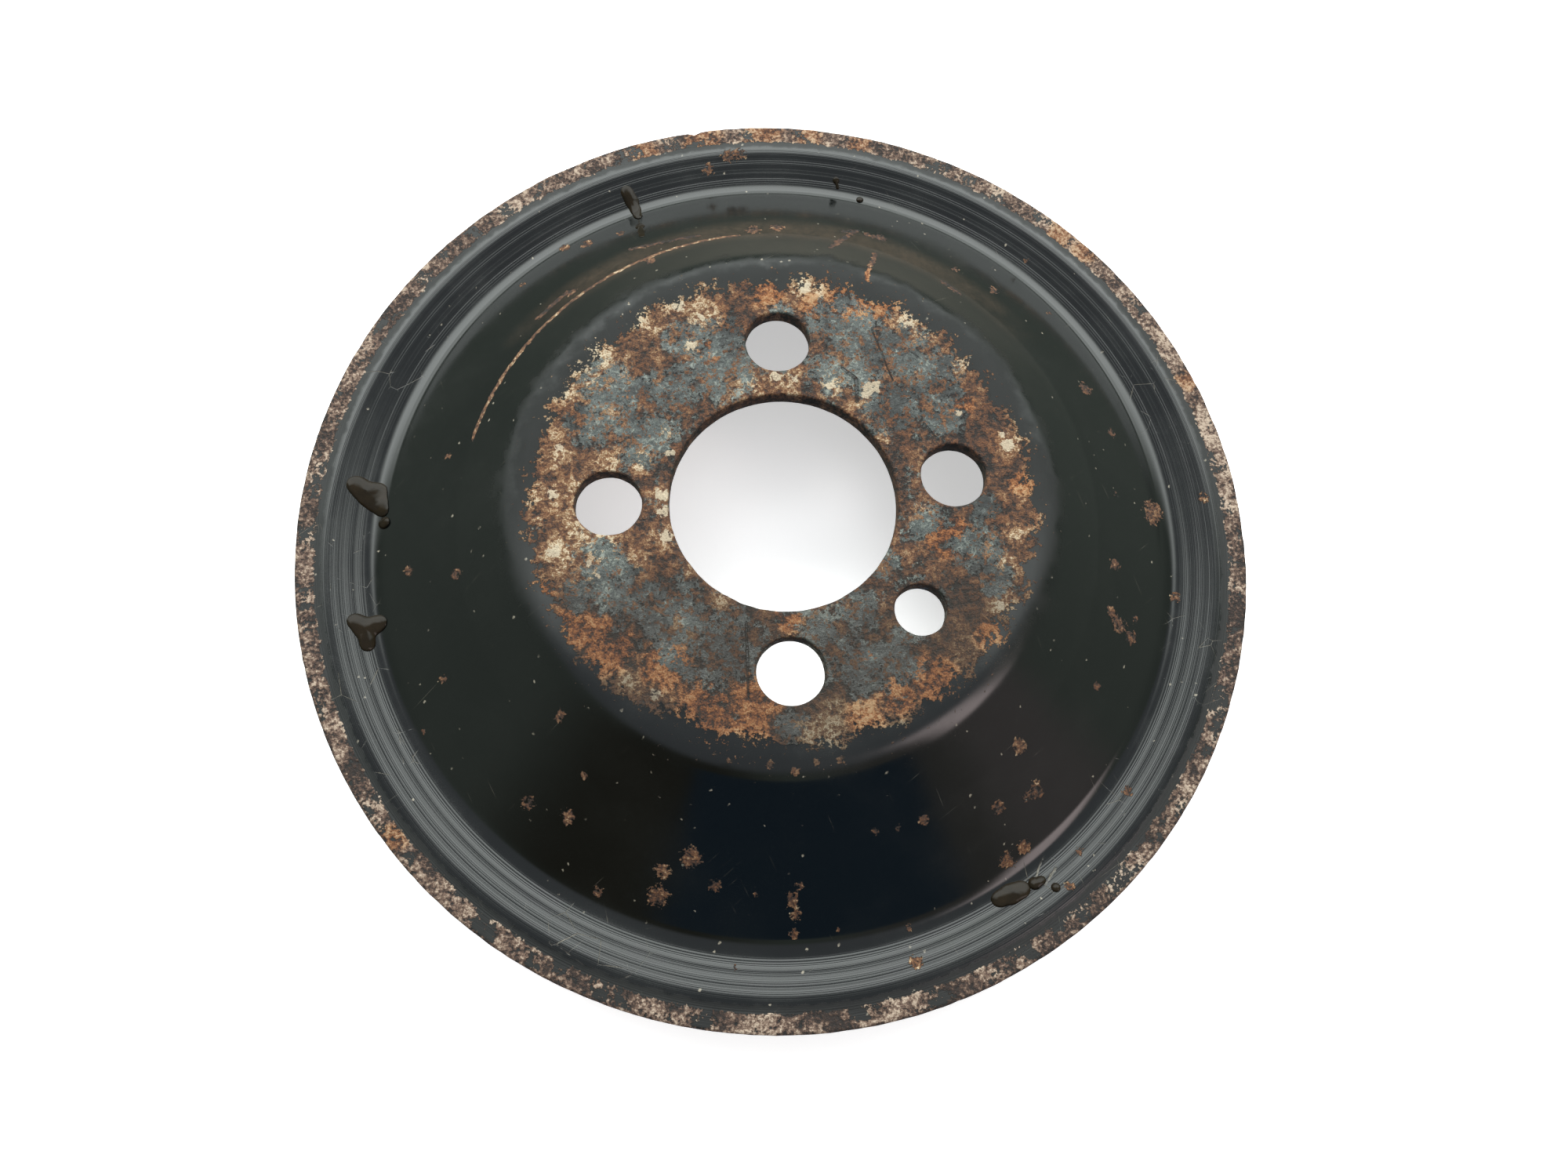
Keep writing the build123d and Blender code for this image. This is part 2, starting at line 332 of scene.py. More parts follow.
def wear_front(points, normals):
    """Rust, scale and paint left on the front pressing."""
    radius = np.hypot(points[:, 0], points[:, 1])
    angle = np.degrees(np.arctan2(points[:, 1], points[:, 0])) % 360
    front = normals[:, 2] > 0.15
    broad = cloud(points, 9.0)
    ragged = cloud(points, 3.0, seed=4.0)
    disc_edge = HUB_WEAR + 0.7 * np.cos(2 * np.radians(angle)) + 1.0 * broad + 1.5 * ragged
    disc = 0.5 + (disc_edge - radius) / 2.6
    low_side = rise(np.cos(np.radians(angle - 270)), -0.2, 0.9)
    band = 0.5 + (radius - LIP - 0.1 + 0.2 * ragged) / 0.45
    kept = 0.9 * rise(cloud(points, 4.0, seed=9.0), -0.05, 0.35) + 0.25 * low_side
    band = np.minimum(band, 1.3 - kept)
    spots = blots(points, DISH_SPOTS)
    rust = np.maximum(np.maximum(disc, band), spots)
    back = np.maximum(0.75 * rise(34.0 - radius, 0, 3), 0.62 * rise(radius, 56.0, 58.5))
    back = np.maximum(back + 0.3 * ragged, 0.2 + 0.35 * broad)
    rust = np.where(front, rust, back)
    wall = (radius < BORE + 0.2) & (np.abs(normals[:, 2]) < 0.5)
    rust = np.where(wall | (radius > RIM - 0.1), FULL_MARK, rust)
    pale_side = rise(np.cos(np.radians(angle - 330)), -0.5, 0.8)
    hub_edge = rise(radius, 25.0, 28.5) * rise(34.0 - radius, 0, 2)
    pale = np.maximum(blots(points, PALE_SCALE), -0.1 + 0.36 * hub_edge)
    pale = np.maximum(pale, rise(radius, LIP - 0.4, LIP) * (0.55 + 0.2 * pale_side + 0.3 * broad))
    pale = np.where(front, np.maximum(pale, 0.25 * spots), 0.0)
    film = np.where(front, np.maximum(blots(points, BLUE_FILM), 0.20), NO_MARK)
    film = film - 1.5 * rise(radius, 31.5, 33.5)
    film = np.where(film > 0.3, film, film - 0.35 * hub_edge)
    return np.clip(rust, NO_MARK, FULL_MARK), np.clip(pale, 0, 1), film


def relief(points, normals, rust, pale, film):
    """Height of the worn surface over the pressed one, in millimetres."""
    radius = np.hypot(points[:, 0], points[:, 1])
    rough = cloud(points, 1.6, 4, seed=2.0)
    rust = np.clip(rust, 0, 1)
    film = np.clip(film, 0, 1)
    height = rust * 0.05 * rough + 0.05 * np.clip(pale - 0.3, 0, 1) * (1 + rough)
    height += 0.035 * film
    height += 0.03 * cloud(points, 24.0, 2, seed=7.0)
    height += np.where(radius > LIP, 0.045 * cloud(points, 3.5, 3, seed=5.0), 0.0)
    height -= 0.02
    return np.where(np.abs(normals[:, 2]) > 0.15, height, 0.5 * height)


def nick(points, x=-10.4, y=64.1, reach=1.1, depth=0.45):
    """A small dent knocked into the edge of the rim, as an inward shift in millimetres."""
    away = np.hypot(points[:, 0] - x, points[:, 1] - y)
    return depth * np.clip(1 - away / reach, 0, 1)


def cracked(points, normals):
    """Strength of the cracked stretches of the front flange at each point."""
    radius = np.hypot(points[:, 0], points[:, 1])
    angle = np.degrees(np.arctan2(points[:, 1], points[:, 0])) % 360
    cracks = np.zeros(len(points))
    for middle, spread in CRACKED:
        away = np.abs((angle - middle + 180) % 360 - 180)
        cracks = np.maximum(cracks, rise(-away, -spread, -0.4 * spread))
    return cracks * rise(radius, 54, 56) * (normals[:, 2] > 0.15)


def finish_mesh(thing, wear):
    """Marks a pressing's wear, raises its relief and smooths its shading."""
    points, normals = mesh_points(thing)
    rust, pale, film = wear(points, normals)
    write_marks(thing, "wear", rust, pale, film)
    chips = np.where(normals[:, 2] > 0.15, blots(points, CHIPS), NO_MARK)
    write_marks(thing, "tint", blots(points, ORANGE_RUST), chips, cracked(points, normals))
    radius = np.hypot(points[:, 0], points[:, 1])
    points += normals * relief(points, normals, rust, pale, film)[:, None]
    inward = nick(points)
    points[:, :2] -= points[:, :2] / np.maximum(radius, 1)[:, None] * inward[:, None]
    reach = np.hypot(points[:, 0], points[:, 1])
    points[:, :2] *= np.minimum(1, RIM / np.maximum(reach, 1e-6))[:, None]
    thing.data.vertices.foreach_set("co", (points * MM).astype(np.float32).ravel())
    thing.data.shade_smooth()
    thing.data.set_sharp_from_angle(angle=math.radians(50))
    thing.data.update()


def wear_rear(points, normals):
    """Rust, scale and paint left on the rear pressing."""
    radius = np.hypot(points[:, 0], points[:, 1])
    broad = cloud(points, 9.0, seed=3.0)
    ragged = cloud(points, 3.0, seed=6.0)
    band = 0.5 + (radius - LIP - 0.3 + 0.5 * ragged) / 0.8
    groove = (0.55 + 0.4 * ragged) * (normals[:, 2] > 0.3) * rise(radius, 55.2, 57)
    back = 0.28 + 0.4 * broad
    rust = np.maximum(np.maximum(band, groove), back)
    rust = np.where(radius > RIM - 0.1, 1.0, rust)
    pale = np.maximum(0.42 * rise(radius, LIP, LIP + 0.8), 0.2 + 0.4 * ragged)
    film = np.full(len(points), NO_MARK)
    return np.clip(rust, NO_MARK, FULL_MARK), np.clip(pale, 0, 1), film


def top_profile(wire):
    """Radii and heights of a section's upper side, in millimetres."""
    radii = np.arange(BORE + 0.5, RIM - 0.1, 0.15)
    heights = [height_above(wire, radius * MM) / MM for radius in radii]
    return radii, np.array(heights)


def drop(shape, profile, lobes, height):
    """Adds one liquid drop: a flat dome over a few overlapping round lobes, lying on the sheet."""
    middle = np.array(lobes[0][:2], float)
    made = bmesh.ops.create_uvsphere(shape, u_segments=48, v_segments=18, radius=1.0)
    reach = {}
    for vertex in made["verts"]:
        turn = round(math.atan2(vertex.co.y, vertex.co.x), 3)
        if turn not in reach:
            way = np.array((math.cos(turn), math.sin(turn)))
            steps = np.arange(0.0, 9.0, 0.05)
            path = middle + steps[:, None] * way
            wet = sum(np.exp(-((path[:, 0] - x) ** 2 + (path[:, 1] - y) ** 2) / size ** 2)
                      for x, y, size in lobes)
            reach[turn] = steps[np.argmax(wet < 0.37)]
        spread = math.hypot(vertex.co.x, vertex.co.y) * reach[turn]
        x = middle[0] + spread * math.cos(turn)
        y = middle[1] + spread * math.sin(turn)
        sheet = np.interp(math.hypot(x, y), *profile)
        lift = height * vertex.co.z if vertex.co.z > 0 else 0.15 * vertex.co.z
        vertex.co = Vector((x, y, sheet + lift)) * MM


def liquid(profile):
    """Dark drops and runs of oily water on the dish and the flange."""
    shape = bmesh.new()
    for lobes, height in DROPS:
        drop(shape, profile, lobes, height)
    bmesh.ops.recalc_face_normals(shape, faces=shape.faces)
    thing = blank("liquid_drops")
    shape.to_mesh(thing.data)
    thing.data.shade_smooth()
    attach(thing, "root")
    return thing


def pressing(node, front_step, turns, wear, holes):
    """A worn, finely meshed copy of a turned CAD node, which stands for that node."""
    wire = half_section(node, SECTION_ANGLE)
    refine(wire, front_step, BACK_STEP)
    ease(wire, 4)
    profile = top_profile(wire) if holes else None
    spin_round(wire, turns)
    thing = blank(node + "_sheet")
    wire.to_mesh(thing.data)
    if holes:
        cut_holes(thing)
    finish_mesh(thing, wear)
    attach(thing, "root")
    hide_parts(node)
    return thing, profile


# ---------------------------------------------------------------- shaders

class Value:
    """A number that varies over a surface. Arithmetic on it adds Math nodes."""

    def __init__(self, graph, socket):
        self.graph = graph
        self.socket = socket

    def _math(self, operation, first, second):
        return self.graph.add("ShaderNodeMath", {"operation": operation}, {0: first, 1: second})

    def __add__(self, other):
        return self._math("ADD", self, other)

    def __sub__(self, other):
        return self._math("SUBTRACT", self, other)

    def __mul__(self, other):
        return self._math("MULTIPLY", self, other)

    def __truediv__(self, other):
        return self._math("DIVIDE", self, other)

    def __radd__(self, other):
        return self._math("ADD", other, self)

    def __rsub__(self, other):
        return self._math("SUBTRACT", other, self)

    def __rmul__(self, other):
        return self._math("MULTIPLY", other, self)

    def above(self, low, high):
        """0 at low and 1 at high, eased between. It falls where low is the larger."""
        settings = {"interpolation_type": "SMOOTHSTEP"}
        inputs = {"Value": self, "From Min": low, "From Max": high}
        return self.graph.add("ShaderNodeMapRange", settings, inputs)

    def most(self, other):
        """The larger of two values."""
        return self._math("MAXIMUM", self, other)

    def size(self):
        """The value without its sign."""
        return self._math("ABSOLUTE", self, 0.0)


class Graph:
    """The node tree of one material or of the world."""

    def __init__(self, tree):
        self.tree = tree
        tree.nodes.clear()

    def add(self, kind, settings=None, inputs=None, output=0):
        """Adds a node, sets it up, fills or links its inputs and returns one output, if it has any."""
        node = self.tree.nodes.new(kind)
        for name, value in (settings or {}).items():
            if name == "stops":
                self.stops(node.color_ramp, value)
            else:
                setattr(node, name, value)
        for name, value in (inputs or {}).items():
            if isinstance(value, Value):
                self.tree.links.new(value.socket, node.inputs[name])
            else:
                node.inputs[name].default_value = value
        return Value(self, node.outputs[output]) if node.outputs else None

    @staticmethod
    def stops(ramp, values):
        """Sets a colour ramp's stops from (place, colour) pairs."""
        while len(ramp.elements) < len(values):
            ramp.elements.new(0.5)
        for element, (place, colour) in zip(ramp.elements, values):
            element.position = place
            element.color = (*colour, 1)

    def noise(self, place, size, detail=3.0, roughness=0.55, distortion=0.0):
        """Noise between 0 and 1, with features of a given size in millimetres."""
        inputs = {"Vector": place, "Scale": 1 / (size * MM), "Detail": detail,
                  "Roughness": roughness, "Distortion": distortion}
        return self.add("ShaderNodeTexNoise", None, inputs)

    def mix(self, factor, first, second):
        """Blends two colours, each a tuple or a value."""
        first = (*first, 1) if isinstance(first, tuple) else first
        second = (*second, 1) if isinstance(second, tuple) else second
        settings = {"data_type": "RGBA", "clamp_factor": True}
        return self.add("ShaderNodeMix", settings, {0: factor, 6: first, 7: second}, output=2)

    def parts(self, vector):
        """The three numbers of a vector or a colour."""
        first = self.add("ShaderNodeSeparateXYZ", None, {0: vector})
        return [Value(self, output) for output in first.socket.node.outputs]

    def marks(self, name):
        """The three strengths stored in a mesh attribute."""
        settings = {"attribute_type": "GEOMETRY", "attribute_name": name}
        return self.parts(self.add("ShaderNodeAttribute", settings))


def material(name):
    """A new node material and its graph."""
    made = bpy.data.materials.new(name)
    made.use_nodes = True
    return made, Graph(made.node_tree)


def surface(graph, colour, roughness, height=None, **constants):
    """Ends a material in one Principled shader, with height in millimetres as a bump."""
    inputs = {"Base Color": colour, "Roughness": roughness}
    if height is not None:
        bump = {"Strength": 1.0, "Distance": MM, "Height": height}
        inputs["Normal"] = graph.add("ShaderNodeBump", None, bump)
    for name, value in constants.items():
        inputs[name.replace("_", " ")] = value
    shader = graph.add("ShaderNodeBsdfPrincipled", None, inputs)
    graph.add("ShaderNodeOutputMaterial", None, {"Surface": shader})


# colours of the finish, from the paint down to the metal
PAINT = (0.0018, 0.0025, 0.0023)
PAINT_DUST = (0.050, 0.052, 0.045)
BROWN_HAZE = (0.075, 0.050, 0.033)
SPECK = (0.40, 0.36, 0.28)
FILM_BLUE = (0.021, 0.028, 0.025)
FILM_SCUFF = (0.205, 0.228, 0.192)
# grime and painted shade: the dark that the lower half of the hub is mixed towards
GRIME_AND_SHADE = (0.012, 0.009, 0.006)
CREAM = (0.36, 0.31, 0.225)
RUST_TONES = [
    (0.10, (0.010, 0.008, 0.007)), (0.36, (0.038, 0.020, 0.013)), (0.56, (0.075, 0.032, 0.015)),
    (0.74, (0.128, 0.064, 0.030)), (0.91, (0.235, 0.158, 0.086)), (1.0, (0.38, 0.315, 0.22)),
]
ORANGE_TONES = [
    (0.20, (0.018, 0.009, 0.006)), (0.48, (0.085, 0.029, 0.011)), (0.74, (0.200, 0.075, 0.023)),
    (1.0, (0.30, 0.18, 0.09)),
]
LIP_TONES = [
    (0.15, (0.014, 0.011, 0.010)), (0.42, (0.065, 0.040, 0.030)), (0.65, (0.135, 0.094, 0.071)),
    (1.0, (0.31, 0.245, 0.19)),
]


def stroke(graph, x, y, start_x, start_y, end_x, end_y, width):
    """Strength of one straight mark, with its ends and half width in millimetres."""
    length = math.hypot(end_x - start_x, end_y - start_y)
    along_x = (end_x - start_x) / length
    along_y = (end_y - start_y) / length
    from_x = x - start_x
    from_y = y - start_y
    along = from_x * along_x + from_y * along_y
    across = (from_x * along_y - from_y * along_x).size()
    past = (along * -1.0).most(along - length).most(0.0)
    return (across + past).above(width * 1.6, width * 0.7)


def strokes(graph, x, y, marks):
    """Strength of a set of straight marks."""
    total = stroke(graph, x, y, *marks[0])
    for mark in marks[1:]:
        total = total.most(stroke(graph, x, y, *mark))
    return total


class Worn:
    """What the finish of a pressing reads at each point: its place, its marks and its noise."""

    def __init__(self, graph):
        self.graph = graph
        self.place = graph.add("ShaderNodeTexCoord", None, None, output="Object")
        x, y, _ = graph.parts(self.place)
        self.x = x * (1 / MM)
        self.y = y * (1 / MM)
        squares = self.x * self.x + self.y * self.y
        self.radius = graph.add("ShaderNodeMath", {"operation": "SQRT"}, {0: squares})
        self.rust_mark, self.pale_mark, self.film_mark = graph.marks("wear")
        self.orange_mark, self.chip_mark, self.crack_mark = graph.marks("tint")
        self.patches = graph.noise(self.place, 5.5, 4, 0.6) - 0.5
        self.ragged = graph.noise(self.place, 1.7, 6, 0.65) - 0.5
        self.crumbs = graph.noise(self.place, 0.5, 4, 0.65) - 0.5
        self.grain = graph.noise(self.place, 0.22, 2, 0.5)

    def cells(self, spacing, place=None, settings=None):
        """Distance within cells of a given spacing in millimetres."""
        inputs = {"Vector": place or self.place, "Scale": 1 / (spacing * MM), "Randomness": 1.0}
        return self.graph.add("ShaderNodeTexVoronoi", settings, inputs)


def bare_metal(at):
    """Where the paint has gone, with the arc and the loose flecks that are part of it."""
    wobble = at.ragged * 0.9 + at.crumbs * 0.6
    arc_side = (at.x * -0.643 + at.y * 0.766) / at.radius
    arc_fade = arc_side.above(0.80, 0.86) * (at.patches + 0.5).above(0.32, 0.46)
    arc = (at.radius - ARC + at.ragged * 0.8).size().above(0.44, 0.10) * arc_fade
    runs = strokes(at.graph, at.x + at.ragged * 1.6, at.y + at.crumbs * 1.6, RUST_RUNS)
    fleck_zone = at.radius.above(HUB_EDGE + 4.5, HUB_EDGE - 3.0)
    flecks = (at.crumbs + fleck_zone * 0.11 + at.ragged * 0.3).above(0.235, 0.27) * fleck_zone
    bare = (at.rust_mark + at.ragged * 2.2 + at.crumbs * 3.0).above(0.45, 0.60)
    bare = bare.most((arc + wobble).above(0.4, 0.5))
    bare = bare.most((runs + wobble * 2.0).above(0.62, 0.8))
    return bare.most(flecks), arc, flecks


def rust_tone(at, arc, flecks):
    """How far rust has gone, from dark pits at 0 to pale scale at 1."""
    tone = at.patches + at.ragged * 1.7 + at.crumbs * 2.2 + at.grain * 0.5 + 0.13
    off_hub = at.radius.above(HUB_EDGE, HUB_EDGE + 1.5) * at.radius.above(LIP - 1.0, LIP - 2.0)
    return tone + at.pale_mark * 0.40 + arc * 0.25 - flecks * 0.4 - off_hub * 0.04


def rust_colour(at, tone, fresh, chip):
    """Brown rust, orange where it is fresh, duller on the lip, with chips of cream scale."""
    graph = at.graph
    brown = graph.add("ShaderNodeValToRGB", {"stops": RUST_TONES}, {"Fac": tone})
    orange = graph.add("ShaderNodeValToRGB", {"stops": ORANGE_TONES}, {"Fac": tone + 0.12})
    lip_tone = tone * 1.2 + at.patches - 0.30 - at.y.above(15.0, -45.0) * 0.15
    lip = graph.add("ShaderNodeValToRGB", {"stops": LIP_TONES}, {"Fac": lip_tone})
    ochre = (at.patches * -1.0 + at.ragged + 0.5).above(0.5, 0.75)
    rusty = graph.mix(fresh * 0.9, brown, orange)
    rusty = graph.mix(ochre * 0.22, rusty, orange)
    on_lip = at.radius.above(LIP - 1.5, LIP - 1.0)
    rusty = graph.mix(on_lip * (0.9 - fresh * 0.5), rusty, lip)
    return graph.mix(chip * 0.75, rusty, CREAM)


def film_cover(at, chip):
    """Where thin smooth paint is left on the hub, freckled with rust."""
    film = (at.film_mark - at.ragged * 2.8 + at.crumbs * 2.4 + at.patches * 0.5).above(0.42, 0.58)
    freckles = (at.crumbs + at.ragged * 0.7 + at.grain * 0.1).above(0.085, 0.14)
    return film * (1 - freckles) * (1 - chip)


def film_colour(at, scratchy, soot):
    """Blue-black paint film, chalky where scuffed and black where sooty."""
    scuffs = (scratchy + at.patches * 0.5).above(0.03, 0.20)
    filmy = at.graph.mix(scuffs * 0.62, FILM_BLUE, FILM_SCUFF)
    return at.graph.mix(soot * 0.85, filmy, PAINT)


def fine_streaks(at):
    """Hairline streaks wiped across the paint in two directions."""
    lengthwise = {"X": (at.x * 0.8 + at.y * 0.6) * 0.07, "Y": (at.y * 0.8 - at.x * 0.6) * 3.2, "Z": 0.0}
    crosswise = {"X": (at.y * 0.9 - at.x * 0.43) * 0.09, "Y": (at.x * 0.9 + at.y * 0.43) * 2.6, "Z": 7.0}
    streaks = 0.0
    for lines in (lengthwise, crosswise):
        stretched = at.graph.add("ShaderNodeCombineXYZ", None, lines)
        inputs = {"Vector": stretched, "Scale": 1.0, "Detail": 1.0}
        fine = at.graph.add("ShaderNodeTexNoise", None, inputs)
        streaks = fine.above(0.72, 0.80) * (at.patches + 0.5).above(0.48, 0.66) + streaks
    return streaks


def paint_colour(at, dust, streaks, crack):
    """Black-green paint with dust, a brown haze on the upper dish, specks and hairline cracks."""
    graph = at.graph
    painted = graph.mix(dust * 0.07, PAINT, PAINT_DUST)
    upper = (at.y + at.patches * 20.0).above(24.0, 38.0)
    haze = (at.radius - HAZE).size().above(3.5, 0.5) * upper
    painted = graph.mix(haze * (at.crumbs + at.ragged + 0.5) * 0.5, painted, BROWN_HAZE)
    painted = graph.mix(streaks * 0.10, painted, SPECK)
    shift = graph.noise(at.place, 0.7, 2, 0.5) * (0.6 * MM)
    shifted = graph.add("ShaderNodeVectorMath", {"operation": "ADD"}, {0: at.place, 1: shift})
    near = (at.cells(2.3, shifted) + at.crumbs * 0.12).above(0.095, 0.05)
    specks = near * (at.patches + at.ragged).above(-0.12, 0.12)
    painted = graph.mix(specks * 0.42, painted, SPECK)
    return graph.mix(crack * 0.2, painted, SPECK)


def paint_relief(at, streaks):
    """Height of the paint's skin in millimetres, with the faint rings turned into the flange."""
    graph = at.graph
    skin = graph.noise(at.place, 1.6, 2, 0.5) * 0.003 + graph.noise(at.place, 6.0, 2, 0.5) * 0.010
    by_radius = {"W": at.radius * 1.15, "Detail": 2.0}
    uneven = graph.add("ShaderNodeTexNoise", {"noise_dimensions": "1D"}, by_radius)
    skin = skin + uneven * at.radius.above(FLANGE - 1.0, FLANGE) * 0.030 - streaks * 0.004
    turns = (at.radius - FLANGE - 0.5) * (math.tau / RING_SPACING)
    rings = graph.add("ShaderNodeMath", {"operation": "SINE"}, {0: turns})
    on_ramp = at.radius.above(FLANGE - 0.3, FLANGE + 0.3) * at.radius.above(61.0, 60.4)
    return skin + rings * on_ramp * 0.011


def worn_sheet():
    """Glossy paint that gives way to rust, scale and scuffed film where the mesh is marked."""
    made, graph = material("worn_painted_sheet")
    at = Worn(graph)

    # what covers each point
    bare, arc, flecks = bare_metal(at)
    chip = (at.chip_mark + at.ragged * 2.0 + at.crumbs * 2.6).above(0.50, 0.72)
    fresh = (at.orange_mark + at.ragged * 2.2 + at.crumbs).above(0.30, 0.85)
    tone = rust_tone(at, arc, flecks)
    film = film_cover(at, chip)
    scratchy = graph.noise(at.place, 0.8, 8, 0.75, 0.8) - 0.5
    soot = (at.patches * 1.4 + scratchy * 1.2 + at.crumbs * 0.8).above(0.05, -0.16)
    dust = (graph.noise(at.place, 16.0, 5, 0.6) - 0.5).above(-0.1, 0.25) * at.grain
    streaks = fine_streaks(at)
    split = at.cells(4.2, settings={"feature": "DISTANCE_TO_EDGE"})
    crack = (split + at.crumbs * 0.03).above(0.012, 0.004)
    crack = crack * at.crack_mark * (at.patches + 0.5).above(0.50, 0.62)
    cut = strokes(graph, at.x + at.ragged * 0.5, at.y + at.ragged * 0.5, SCRATCHES)
    # the lower half of the hub, darker towards the bottom: partly grime, partly painted shade
    shaded_low_hub = (at.y + at.patches * 14.0).above(-3.0, -19.0)
    grime_and_shade = shaded_low_hub * at.radius.above(HUB_EDGE + 2.0, HUB_EDGE - 1.0) * bare.most(film)

    colour = graph.mix(bare, paint_colour(at, dust, streaks, crack), rust_colour(at, tone, fresh, chip))
    colour = graph.mix(film, colour, film_colour(at, scratchy, soot))
    colour = graph.mix(cut * 0.85, colour, PAINT)
    # painted shade with grime: darkens the bare and filmed lower hub
    colour = graph.mix(grime_and_shade * (0.62 - fresh * 0.34), colour, GRIME_AND_SHADE)

    # matte round the hub, mostly on its upper side, and beside the lip
    hub_side = (at.radius + at.patches * 7.0 + at.ragged * 2.0).above(HUB_EDGE + 3.5, HUB_EDGE - 0.5)
    hub_side = hub_side * (at.y.above(-26.0, 6.0) * 0.88 + 0.12)
    lip_side = (at.radius + at.ragged * 1.5).above(LIP - 1.2, LIP - 0.5) * 0.7
    rust_gloss = 0.72 + at.grain * 0.2
    film_gloss = 0.18 + soot * 0.32 + at.crumbs * 0.8
    roughness = 0.07 + dust * 0.2 + (at.patches + 0.5) * 0.09 + streaks * 0.15
    roughness = roughness + hub_side.most(lip_side) * 0.62
    roughness = roughness + (rust_gloss - roughness) * bare
    roughness = roughness + (film_gloss - roughness) * film

    crust = (tone * 0.16 + at.grain * 0.03) * bare
    height = paint_relief(at, streaks) + crust - crack * 0.04 - cut * 0.12
    height = height + film * (0.10 - crust * 0.80 + scratchy * 0.12 + at.grain * 0.012)
    surface(graph, colour, roughness, height)
    return made


def weld_steel():
    """Bare steel of the weld slugs, sealed between the sheets."""
    made, graph = material("weld_steel")
    place = graph.add("ShaderNodeTexCoord", None, None, output="Object")
    heat = graph.noise(place, 2.0, 3, 0.6)
    colour = graph.mix(heat, (0.22, 0.2, 0.19), (0.42, 0.41, 0.4))
    surface(graph, colour, 0.35 + heat * 0.2, graph.noise(place, 0.3, 2, 0.5) * 0.01, Metallic=1.0)
    return made


def dark_liquid():
    """Oily water: dark, clear-edged and very glossy."""
    made, graph = material("dark_liquid")
    place = graph.add("ShaderNodeTexCoord", None, None, output="Object")
    murk = graph.noise(place, 1.5, 3, 0.5)
    colour = graph.mix(murk, (0.003, 0.003, 0.002), (0.016, 0.011, 0.006))
    surface(graph, colour, 0.02 + murk * 0.03, graph.noise(place, 1.2, 1, 0.4) * 0.05, IOR=1.22)
    return made


# ---------------------------------------------------------------- setting

def look_from(place_mm, right, up, back):
    """A camera at a place, turned by its three axes."""
    camera = bpy.data.objects.new("camera", bpy.data.cameras.new("camera"))
    bpy.context.scene.collection.objects.link(camera)
    turn = Matrix((right, up, back)).transposed()
    camera.matrix_world = Matrix.Translation(Vector(place_mm) * MM) @ turn.to_4x4()
    camera.data.sensor_width = 36
    camera.data.lens = 27.9
    camera.data.clip_start = 0.01
    bpy.context.scene.camera = camera


def softbox(name, direction, distance, size, power):
    """A wide light that faces the pulley and leaves the reflections to the room."""
    light = bpy.data.lights.new(name, "AREA")
    light.shape = "RECTANGLE"
    light.size, light.size_y = size
    light.energy = power
    lamp = bpy.data.objects.new(name, light)
    bpy.context.scene.collection.objects.link(lamp)
    way = Vector(direction).normalized()
    lamp.location = way * distance
    lamp.rotation_euler = way.to_track_quat("Z", "Y").to_euler()
    lamp.visible_glossy = False


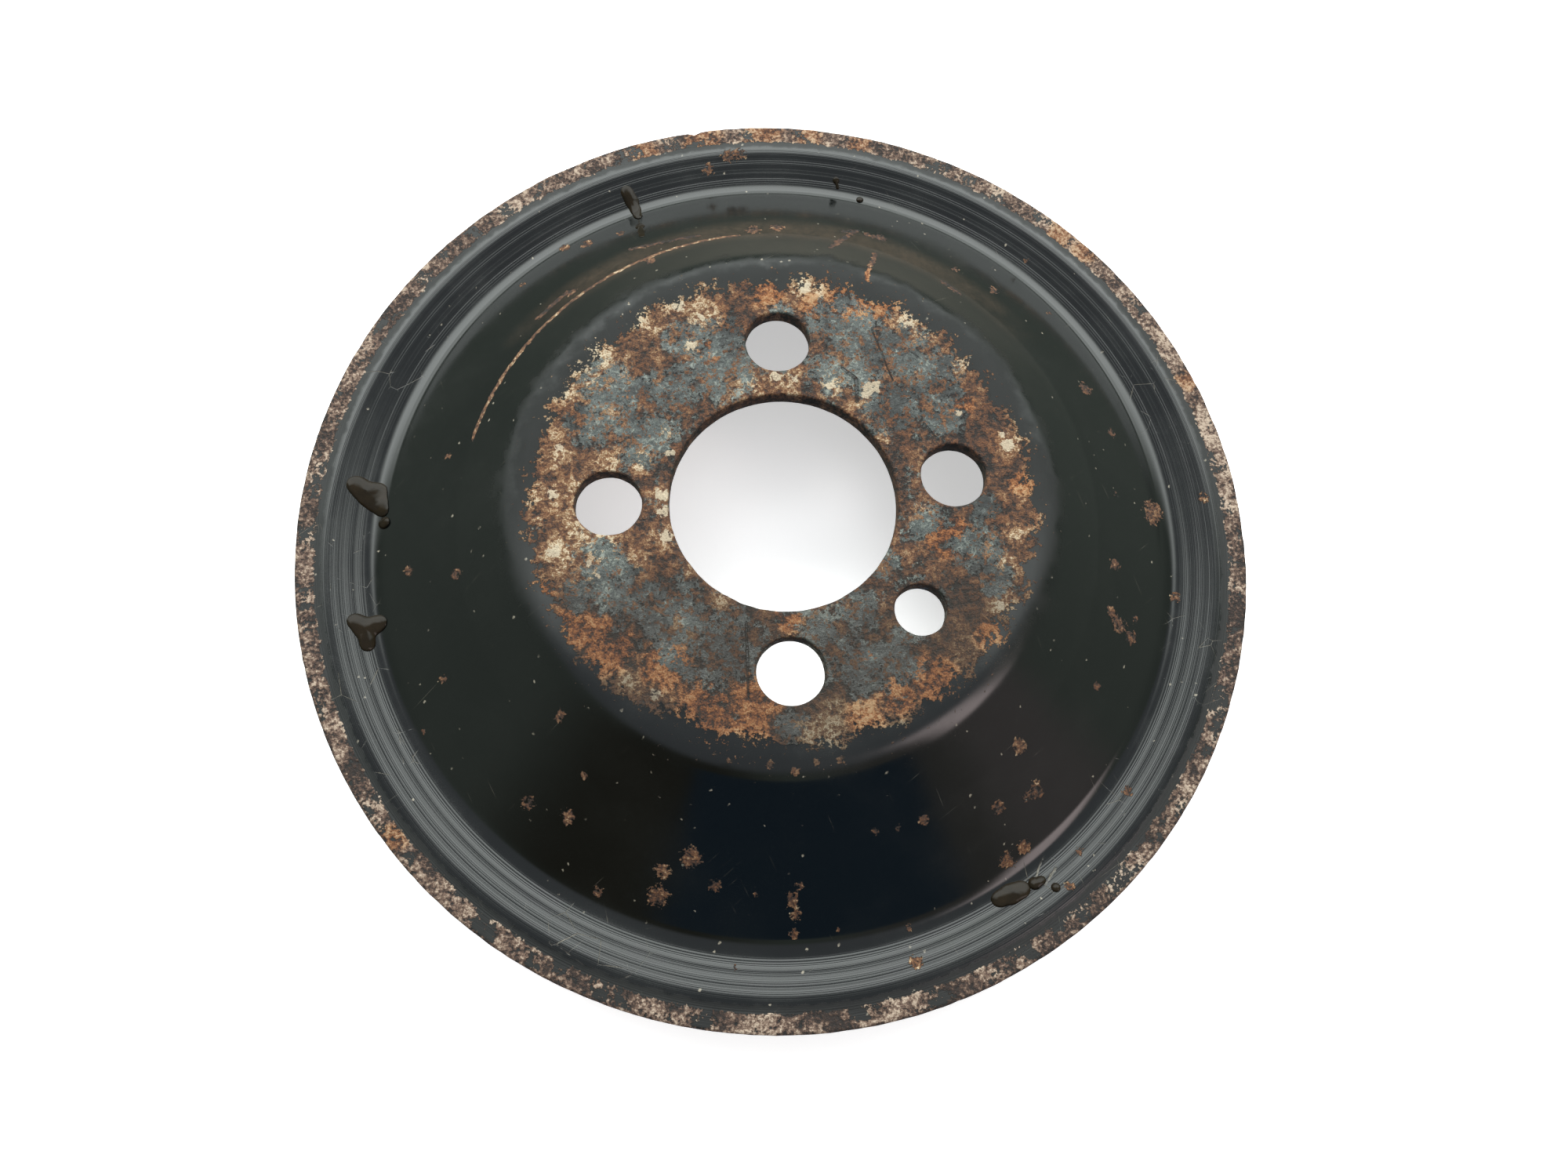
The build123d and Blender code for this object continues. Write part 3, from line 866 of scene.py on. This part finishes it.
def room():
    """The light all round: a bright window wall behind, a dark ceiling, dim navy in front."""
    world = bpy.data.worlds.new("room")
    bpy.context.scene.world = world
    world.use_nodes = True
    graph = Graph(world.node_tree)
    way = graph.add("ShaderNodeTexCoord", None, None, output="Generated")
    x, y, z = graph.parts(way)
    level = graph.add("ShaderNodeMath", {"operation": "SQRT"}, {0: (1 - z * z).most(0.0001)})
    behind = y / level
    across = x / level

    wall = graph.mix(behind.above(0.2, 0.9), (0.34, 0.39, 0.34), (0.24, 0.28, 0.24))
    wall = graph.mix(z.above(-0.16, -0.36) * behind.above(0, 0.6), wall, (0.60, 0.58, 0.48))
    low_left = behind.above(-0.35, -0.75) * across.above(0.1, -0.3)
    wall = graph.mix(low_left, wall, (0.12, 0.10, 0.07))
    low_right = behind.above(-0.35, -0.75) * across.above(0.1, 0.45)
    wall = graph.mix(low_right, wall, (0.27, 0.25, 0.23))
    sheen = (behind + 0.51).size().above(0.25, 0.07) * across.above(0.42, 0.58)
    wall = graph.mix(sheen * z.above(0.60, 0.50), wall, (0.50, 0.44, 0.43))
    sheen = sheen * z.above(0.40, 0.58) * z.above(0.95, 0.86)
    body = (across - 0.1).size().above(0.52, 0.46) * behind.above(-0.7, -0.78) * z.above(0.60, 0.54)
    wall = graph.mix(body, wall, (0.065, 0.115, 0.19))

    ceiling = z.above(0.74, 0.90)
    wall = graph.mix(ceiling, wall, (0.52, 0.55, 0.60))
    wall = graph.mix(sheen, wall, (4.4, 3.75, 3.70))
    window = behind.above(0.34, 0.66) * z.above(0.19, 0.30) * z.above(0.95, 0.90)
    wall = graph.mix(window, wall, (3.0, 3.2, 3.1))
    pane = behind.above(0.5, 0.8) * z.above(0.50, 0.58) * z.above(0.92, 0.86)
    wall = graph.mix(pane, wall, (5.2, 5.5, 5.4))
    seen = graph.add("ShaderNodeLightPath", None, None, output="Is Camera Ray")
    colour = graph.mix(seen, wall, (1.0, 1.0, 1.0))
    shader = graph.add("ShaderNodeBackground", None, {"Color": colour, "Strength": 1.0})
    graph.add("ShaderNodeOutputWorld", None, {"Surface": shader})


def pale_floor():
    """A plain pale floor that the rear rim rests on."""
    plate = bmesh.new()
    bmesh.ops.create_grid(plate, x_segments=1, y_segments=1, size=3.0)
    bmesh.ops.translate(plate, vec=(0, 0, FLOOR_M), verts=plate.verts)
    floor = blank("floor")
    plate.to_mesh(floor.data)
    made, graph = material("pale_floor")
    place = graph.add("ShaderNodeTexCoord", None, None, output="Object")
    tone = graph.mix(graph.noise(place, 60, 3, 0.5), (0.88, 0.88, 0.88), (0.9, 0.9, 0.9))
    surface(graph, tone, 0.8, Emission_Color=(1.0, 1.0, 1.0, 1.0), Emission_Strength=0.5)
    floor.data.materials.append(made)
    floor.visible_glossy = False


def setting():
    """Camera, lights and floor."""
    look_from((-9.43, -53.73, 147.2), (0.998, -0.0387, 0.0505), (0.023, 0.9598, 0.2798),
              (-0.0593, -0.2781, 0.9587))
    softbox("key", (-0.1, 0.7, 0.72), 1.0, (0.7, 0.5), 9.0)
    softbox("overhead", (0.0, 0.1, 1.0), 1.2, (1.6, 1.6), 7.0)
    room()
    pale_floor()
    bpy.context.scene.view_settings.view_transform = "Standard"


# ---------------------------------------------------------------- the pulley

setting()
sheet_finish = worn_sheet()
front_sheet, front_profile = pressing("front_pressing", FRONT_STEP, TURNS, wear_front, holes=True)
rear_sheet, _ = pressing("rear_pressing", 1.2, TURNS // 2, wear_rear, holes=False)
for sheet in (front_sheet, rear_sheet):
    sheet.data.materials.clear()
    sheet.data.materials.append(sheet_finish)

drops = liquid(front_profile)
drops.data.materials.append(dark_liquid())
steel = weld_steel()
for name, node in frame["nodes"].items():
    node.data.materials.clear()
    node.data.materials.append(steel if name.startswith("spot_weld") else sheet_finish)
